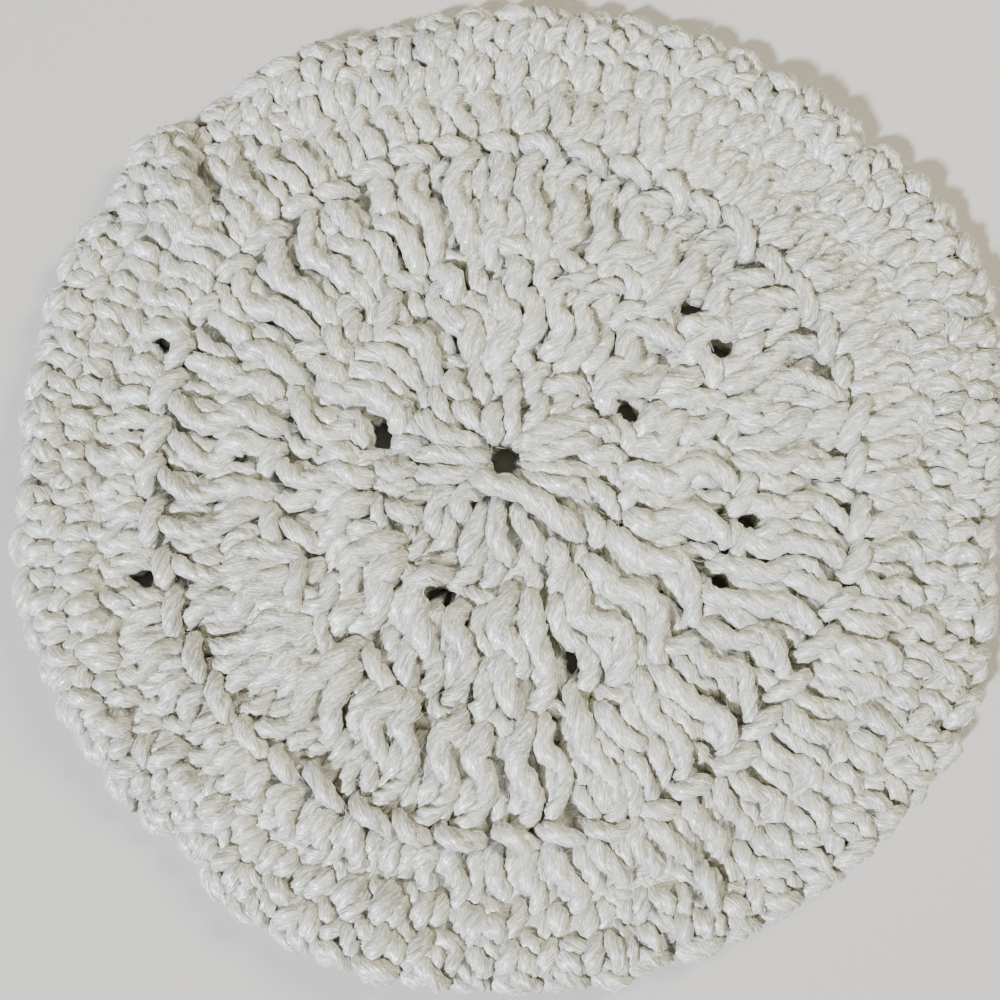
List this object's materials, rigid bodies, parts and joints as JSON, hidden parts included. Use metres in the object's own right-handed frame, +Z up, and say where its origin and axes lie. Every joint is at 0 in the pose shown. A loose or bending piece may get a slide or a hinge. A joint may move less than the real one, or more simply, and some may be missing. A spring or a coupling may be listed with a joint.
{
  "type": "crocheted pot holder",
  "caption": "Round flat crocheted pot holder in ivory-white chunky yarn, with rounds of raised stitches about a small centre ring and a thick bumpy rim.",
  "frame": {"origin": "middle of the outline's box, on the flat underside that rests on the table", "axes": "+Z up through the cloth, out of its right side; +Y away from the viewer and +X to the right when the right side is looked down on"},
  "size_m": [0.178, 0.1788, 0.0091],
  "materials": {
    "ivory_yarn": "soft acrylic yarn, matt with silky streaks and a fine halo of loose fibres"
  },
  "bodies": {
    "root": {"pot_holder": "ivory_yarn"}
  },
  "joints": []
}
